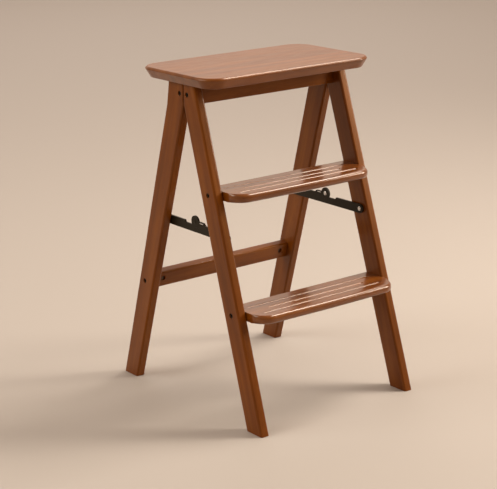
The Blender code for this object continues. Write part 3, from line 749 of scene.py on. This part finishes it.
def build_lock_pin(node, material):
    """Small locking pin with round ends and a turned waist."""
    low, high = lo_hi(node)
    radius = (high.z - low.z) / 2
    narrow = radius * PIN_WAIST_SHARE
    tip = dome(0.0, radius, radius, 1, PIN_DOME_STEPS)
    start = [(low.y + radius - along, r) for along, r in tip]
    waist = [(low.y + along, r) for along, r in zip(PIN_WAIST, (radius, narrow, narrow, radius))]
    end = [(high.y - radius + along, r) for along, r in tip[::-1]]
    pin = turned(node + "_finish", "Y", middle_of(node).xz, start + waist + end, PIN_SIDES)
    soften(pin, PIN_SOFT_EDGE, ROUND_SOFT_ANGLE, 2)
    stand_for(pin, node, material)


def dress_node(node, material):
    """Keep a CAD node's own shape, with softened edges and a new material."""
    item = NODES[node]
    item.data.materials.clear()
    item.data.materials.append(material)
    bevel = item.modifiers.new("soft edges", "BEVEL")
    bevel.width = NODE_SOFT_EDGE
    bevel.segments = 3
    bevel.limit_method = "ANGLE"
    bevel.angle_limit = math.radians(ROUND_SOFT_ANGLE)


def build_bolt(node, material):
    """Cap bolt with a chamfered head and a six-sided socket."""
    low, high = lo_hi(node)
    side = 1 if high.x > 0 else -1
    centre = middle_of(node).yz
    tip, outer = sorted((abs(low.x), abs(high.x)))
    profile = [
        (tip, SHANK_R - SCREW_CHAMFER),
        (tip + SCREW_CHAMFER, SHANK_R),
        (outer - BOLT_HEAD, SHANK_R),
        (outer - BOLT_HEAD, BOLT_HEAD_R),
        (outer - SCREW_CHAMFER, BOLT_HEAD_R),
        (outer, BOLT_HEAD_R - SCREW_CHAMFER),
    ]
    bolt = turned(node + "_finish", "X", centre, [(side * along, r) for along, r in profile])
    socket_ends = sorted((side * (outer - SOCKET_DEEP), side * (outer + CUT_OVER)))
    cut(bolt, [rod("socket", "X", centre, SOCKET_R, *socket_ends, steps=6)])
    soften(bolt, SCREW_SOFT_EDGE, SCREW_SOFT_ANGLE, 2)
    stand_for(bolt, node, material)


def build_nut(node, material):
    """Barrel nut, upright in a tread or level in a rail, with a driver slot in the end that shows."""
    low, high = lo_hi(node)
    middle = middle_of(node)
    radius = (high.x - low.x) / 2
    upright = (high.z - low.z) > (high.y - low.y)
    axis, centre = ("Z", middle.xy) if upright else ("Y", middle.xz)
    start, end = (low.z, high.z) if upright else (low.y, high.y)
    profile = [
        (start, radius - SCREW_CHAMFER),
        (start + SCREW_CHAMFER, radius),
        (end - SCREW_CHAMFER, radius),
        (end, radius - SCREW_CHAMFER),
    ]
    nut = turned(node + "_finish", axis, centre, profile)
    shows = end if "apron" in node else start
    if upright:
        slot_place = Vector((middle.x, middle.y, shows))
        slot_half = Vector((radius, SLOT_HALF, SLOT_DEEP))
    else:
        slot_place = Vector((middle.x, shows, middle.z))
        slot_half = Vector((radius, SLOT_DEEP, SLOT_HALF))
    bore = rod("bore", "X", middle.yz, SHANK_BORE_R, low.x - CUT_OVER, high.x + CUT_OVER)
    cut(nut, [bore, box_tool(slot_place - slot_half, slot_place + slot_half)])
    soften(nut, SCREW_SOFT_EDGE, SCREW_SOFT_ANGLE, 2)
    stand_for(nut, node, material)


# ---------------------------------------------------------------- camera, floor and lights
def build_camera():
    """Camera turned by azimuth, tilted down by drop and rolled a little about its view."""
    azimuth, drop, roll = CAMERA_AZIMUTH, CAMERA_DROP, CAMERA_ROLL
    heading = Vector((math.sin(azimuth), math.cos(azimuth), 0.0))
    forward = heading * math.cos(drop) - Vector((0.0, 0.0, math.sin(drop)))
    level = Vector((math.cos(azimuth), -math.sin(azimuth), 0.0))
    rise = level.cross(forward)
    right = level * math.cos(roll) + rise * math.sin(roll)
    up = right.cross(forward)
    data = bpy.data.cameras.new("camera")
    data.lens = LENS_MM
    data.sensor_width = SENSOR_MM
    data.clip_end = CAMERA_REACH
    camera = bpy.data.objects.new("camera", data)
    turn = Matrix((right, up, -forward)).transposed().to_4x4()
    camera.matrix_world = Matrix.Translation(CAMERA_PLACE) @ turn
    bpy.context.scene.collection.objects.link(camera)
    bpy.context.scene.camera = camera


FLOOR_COLOUR = (0.43, 0.40, 0.37, 1.0)
FLOOR_ROUGHNESS = 0.75
FLOOR_HALF = 30.0
FLOOR_DROP = 0.0002


def build_floor():
    """Plain pale floor just under the feet."""
    made = Nodes("floor_finish")
    made.shader.inputs["Base Color"].default_value = FLOOR_COLOUR
    made.shader.inputs["Roughness"].default_value = FLOOR_ROUGHNESS
    mesh_data = bmesh.new()
    corners = [mesh_data.verts.new((x * FLOOR_HALF, y * FLOOR_HALF, -FLOOR_DROP))
               for x, y in ((-1, -1), (1, -1), (1, 1), (-1, 1))]
    mesh_data.faces.new(corners)
    floor = to_object("floor", mesh_data)
    floor.data.materials.append(made.mat)


def area_light(name, place, target, size, power, colour, spread=180.0):
    data = bpy.data.lights.new(name, "AREA")
    data.shape = "RECTANGLE"
    data.size, data.size_y = size
    data.energy = power
    data.color = colour
    data.spread = math.radians(spread)
    light = bpy.data.objects.new(name, data)
    direction = Vector(target) - Vector(place)
    light.location = place
    light.rotation_euler = direction.to_track_quat("-Z", "Y").to_euler()
    bpy.context.scene.collection.objects.link(light)


WORLD_COLOUR = (0.76, 0.56, 0.42, 1.0)
WORLD_FRONT = 0.5
WORLD_BACK = 1.0


def build_light():
    """Soft studio: a surround that is paler behind the ladder, and four large soft lights."""
    world = bpy.data.worlds.new("studio")
    world.use_nodes = True
    tree = world.node_tree
    background = tree.nodes["Background"]
    place = tree.nodes.new("ShaderNodeTexCoord")
    split = tree.nodes.new("ShaderNodeSeparateXYZ")
    tree.links.new(place.outputs["Generated"], split.inputs["Vector"])
    depth = tree.nodes.new("ShaderNodeMapRange")
    depth.inputs["From Min"].default_value = -0.8
    depth.inputs["From Max"].default_value = 0.6
    depth.inputs["To Min"].default_value = WORLD_FRONT
    depth.inputs["To Max"].default_value = WORLD_BACK
    tree.links.new(split.outputs["Y"], depth.inputs["Value"])
    tree.links.new(depth.outputs["Result"], background.inputs["Strength"])
    background.inputs["Color"].default_value = WORLD_COLOUR
    bpy.context.scene.world = world
    bpy.context.scene.view_settings.view_transform = "Standard"
    area_light("key", place=(-3.3, 1.4, 3.0), target=(0.0, 0.0, 0.35),
               size=(2.6, 2.6), power=84.0, colour=(1.0, 0.95, 0.86))
    area_light("top", place=(1.9, -0.4, 3.3), target=(0.0, 0.0, 0.6),
               size=(1.3, 1.3), power=92.0, colour=(1.0, 0.88, 0.76))
    area_light("right", place=(2.9, -1.9, 1.7), target=(0.0, 0.0, 0.4),
               size=(1.0, 1.4), power=32.0, colour=(1.0, 0.88, 0.74), spread=100.0)
    area_light("far", place=(3.0, 4.6, 3.4), target=(3.0, 4.8, 0.0),
               size=(4.5, 4.5), power=84.0, colour=(1.0, 0.95, 0.90))


# ---------------------------------------------------------------- assembly
ALONG_X = (0.0, 0.0, 0.0)


def build_wood():
    across = wood_material("wood_across", ALONG_X, (0.0, 0.0, 0.0))
    seat_wood = wood_material("wood_seat", ALONG_X, (1.3, 0.4, 0.2), gloss=0.6, gloss_spread=0.24)
    lower_wood = wood_material("wood_tread_lower", ALONG_X, (2.1, 0.9, 0.5), gloss=1.0)
    upper_wood = wood_material("wood_tread_upper", ALONG_X, (3.7, 1.6, 0.8), gloss=1.0)
    build_seat(seat_wood)
    build_tread("tread_lower", lower_wood)
    build_tread("tread_upper", upper_wood)
    for node, outline, arris, part, toward in (
        ("apron_front", rail_outline("apron_front"), RAIL_ARRIS, "apron", 1),
        ("rail_rear", rail_outline("rail_rear"), RAIL_ARRIS, "rail_rear", -1),
        ("rear_stretcher", stretcher_outline(), STRETCHER_ARRIS, "stretcher", -1),
    ):
        build_cross_piece(node, outline, arris, nut_bores(node, part, toward), across)
    for side, label in ((-1, "left"), (1, "right")):
        front_wood = wood_material("wood_front_leg_" + label, (LEAN, QUARTER, 0.0), (0.3 * side, 2.0, 1.1))
        rear_wood = wood_material("wood_rear_leg_" + label, (-LEAN, QUARTER, 0.0), (0.7 * side, 3.0, 2.3))
        front_bolts = ["bolt_tread_lower_" + label, "bolt_tread_upper_" + label, "bolt_apron_" + label]
        build_leg("front_leg_" + label, front_outline(), side, front_bolts, front_wood)
        rear_bolts = ["bolt_stretcher_" + label, "bolt_rail_rear_" + label]
        build_leg("rear_leg_" + label, rear_outline(), side, rear_bolts, rear_wood)


def build_steel():
    black = metal_material("black_steel_finish", dark=(0.011, 0.008, 0.004), light=(0.022, 0.017, 0.009),
                           roughness=0.45, metallic=0.0, scale=300.0, specular=0.18)
    zinc = metal_material("zinc_finish", dark=(0.55, 0.54, 0.52), light=(0.75, 0.74, 0.72),
                          roughness=0.28, metallic=1.0, scale=400.0)
    dark_nut = metal_material("dark_nut_finish", dark=(0.07, 0.05, 0.03), light=(0.12, 0.09, 0.06),
                              roughness=0.38, metallic=0.85, scale=400.0)
    for label in ("left", "right"):
        build_arm("brace_front_arm_" + label, label, True, black)
        build_arm("brace_rear_arm_" + label, label, False, black)
        build_rivet("brace_front_rivet_" + label, "brace_front_arm_" + label, zinc)
        build_rivet("brace_rear_rivet_" + label, "brace_rear_arm_" + label, zinc)
        build_rivet("brace_knuckle_rivet_" + label, "brace_front_arm_" + label, zinc, black)
        build_lock_pin("brace_lock_pin_" + label, zinc)
        for part in ("front", "rear"):
            dress_node("brace_" + part + "_spacer_" + label, black)
        for part in ("tread_lower", "tread_upper", "apron", "rail_rear", "stretcher"):
            build_bolt("bolt_" + part + "_" + label, black)
            build_nut("barrel_nut_" + part + "_" + label, dark_nut)
    for node in sorted(NODES):
        if node.startswith(("hinge_", "seat_screw_")):
            dress_node(node, zinc)


build_wood()
build_steel()
build_floor()
build_light()
build_camera()
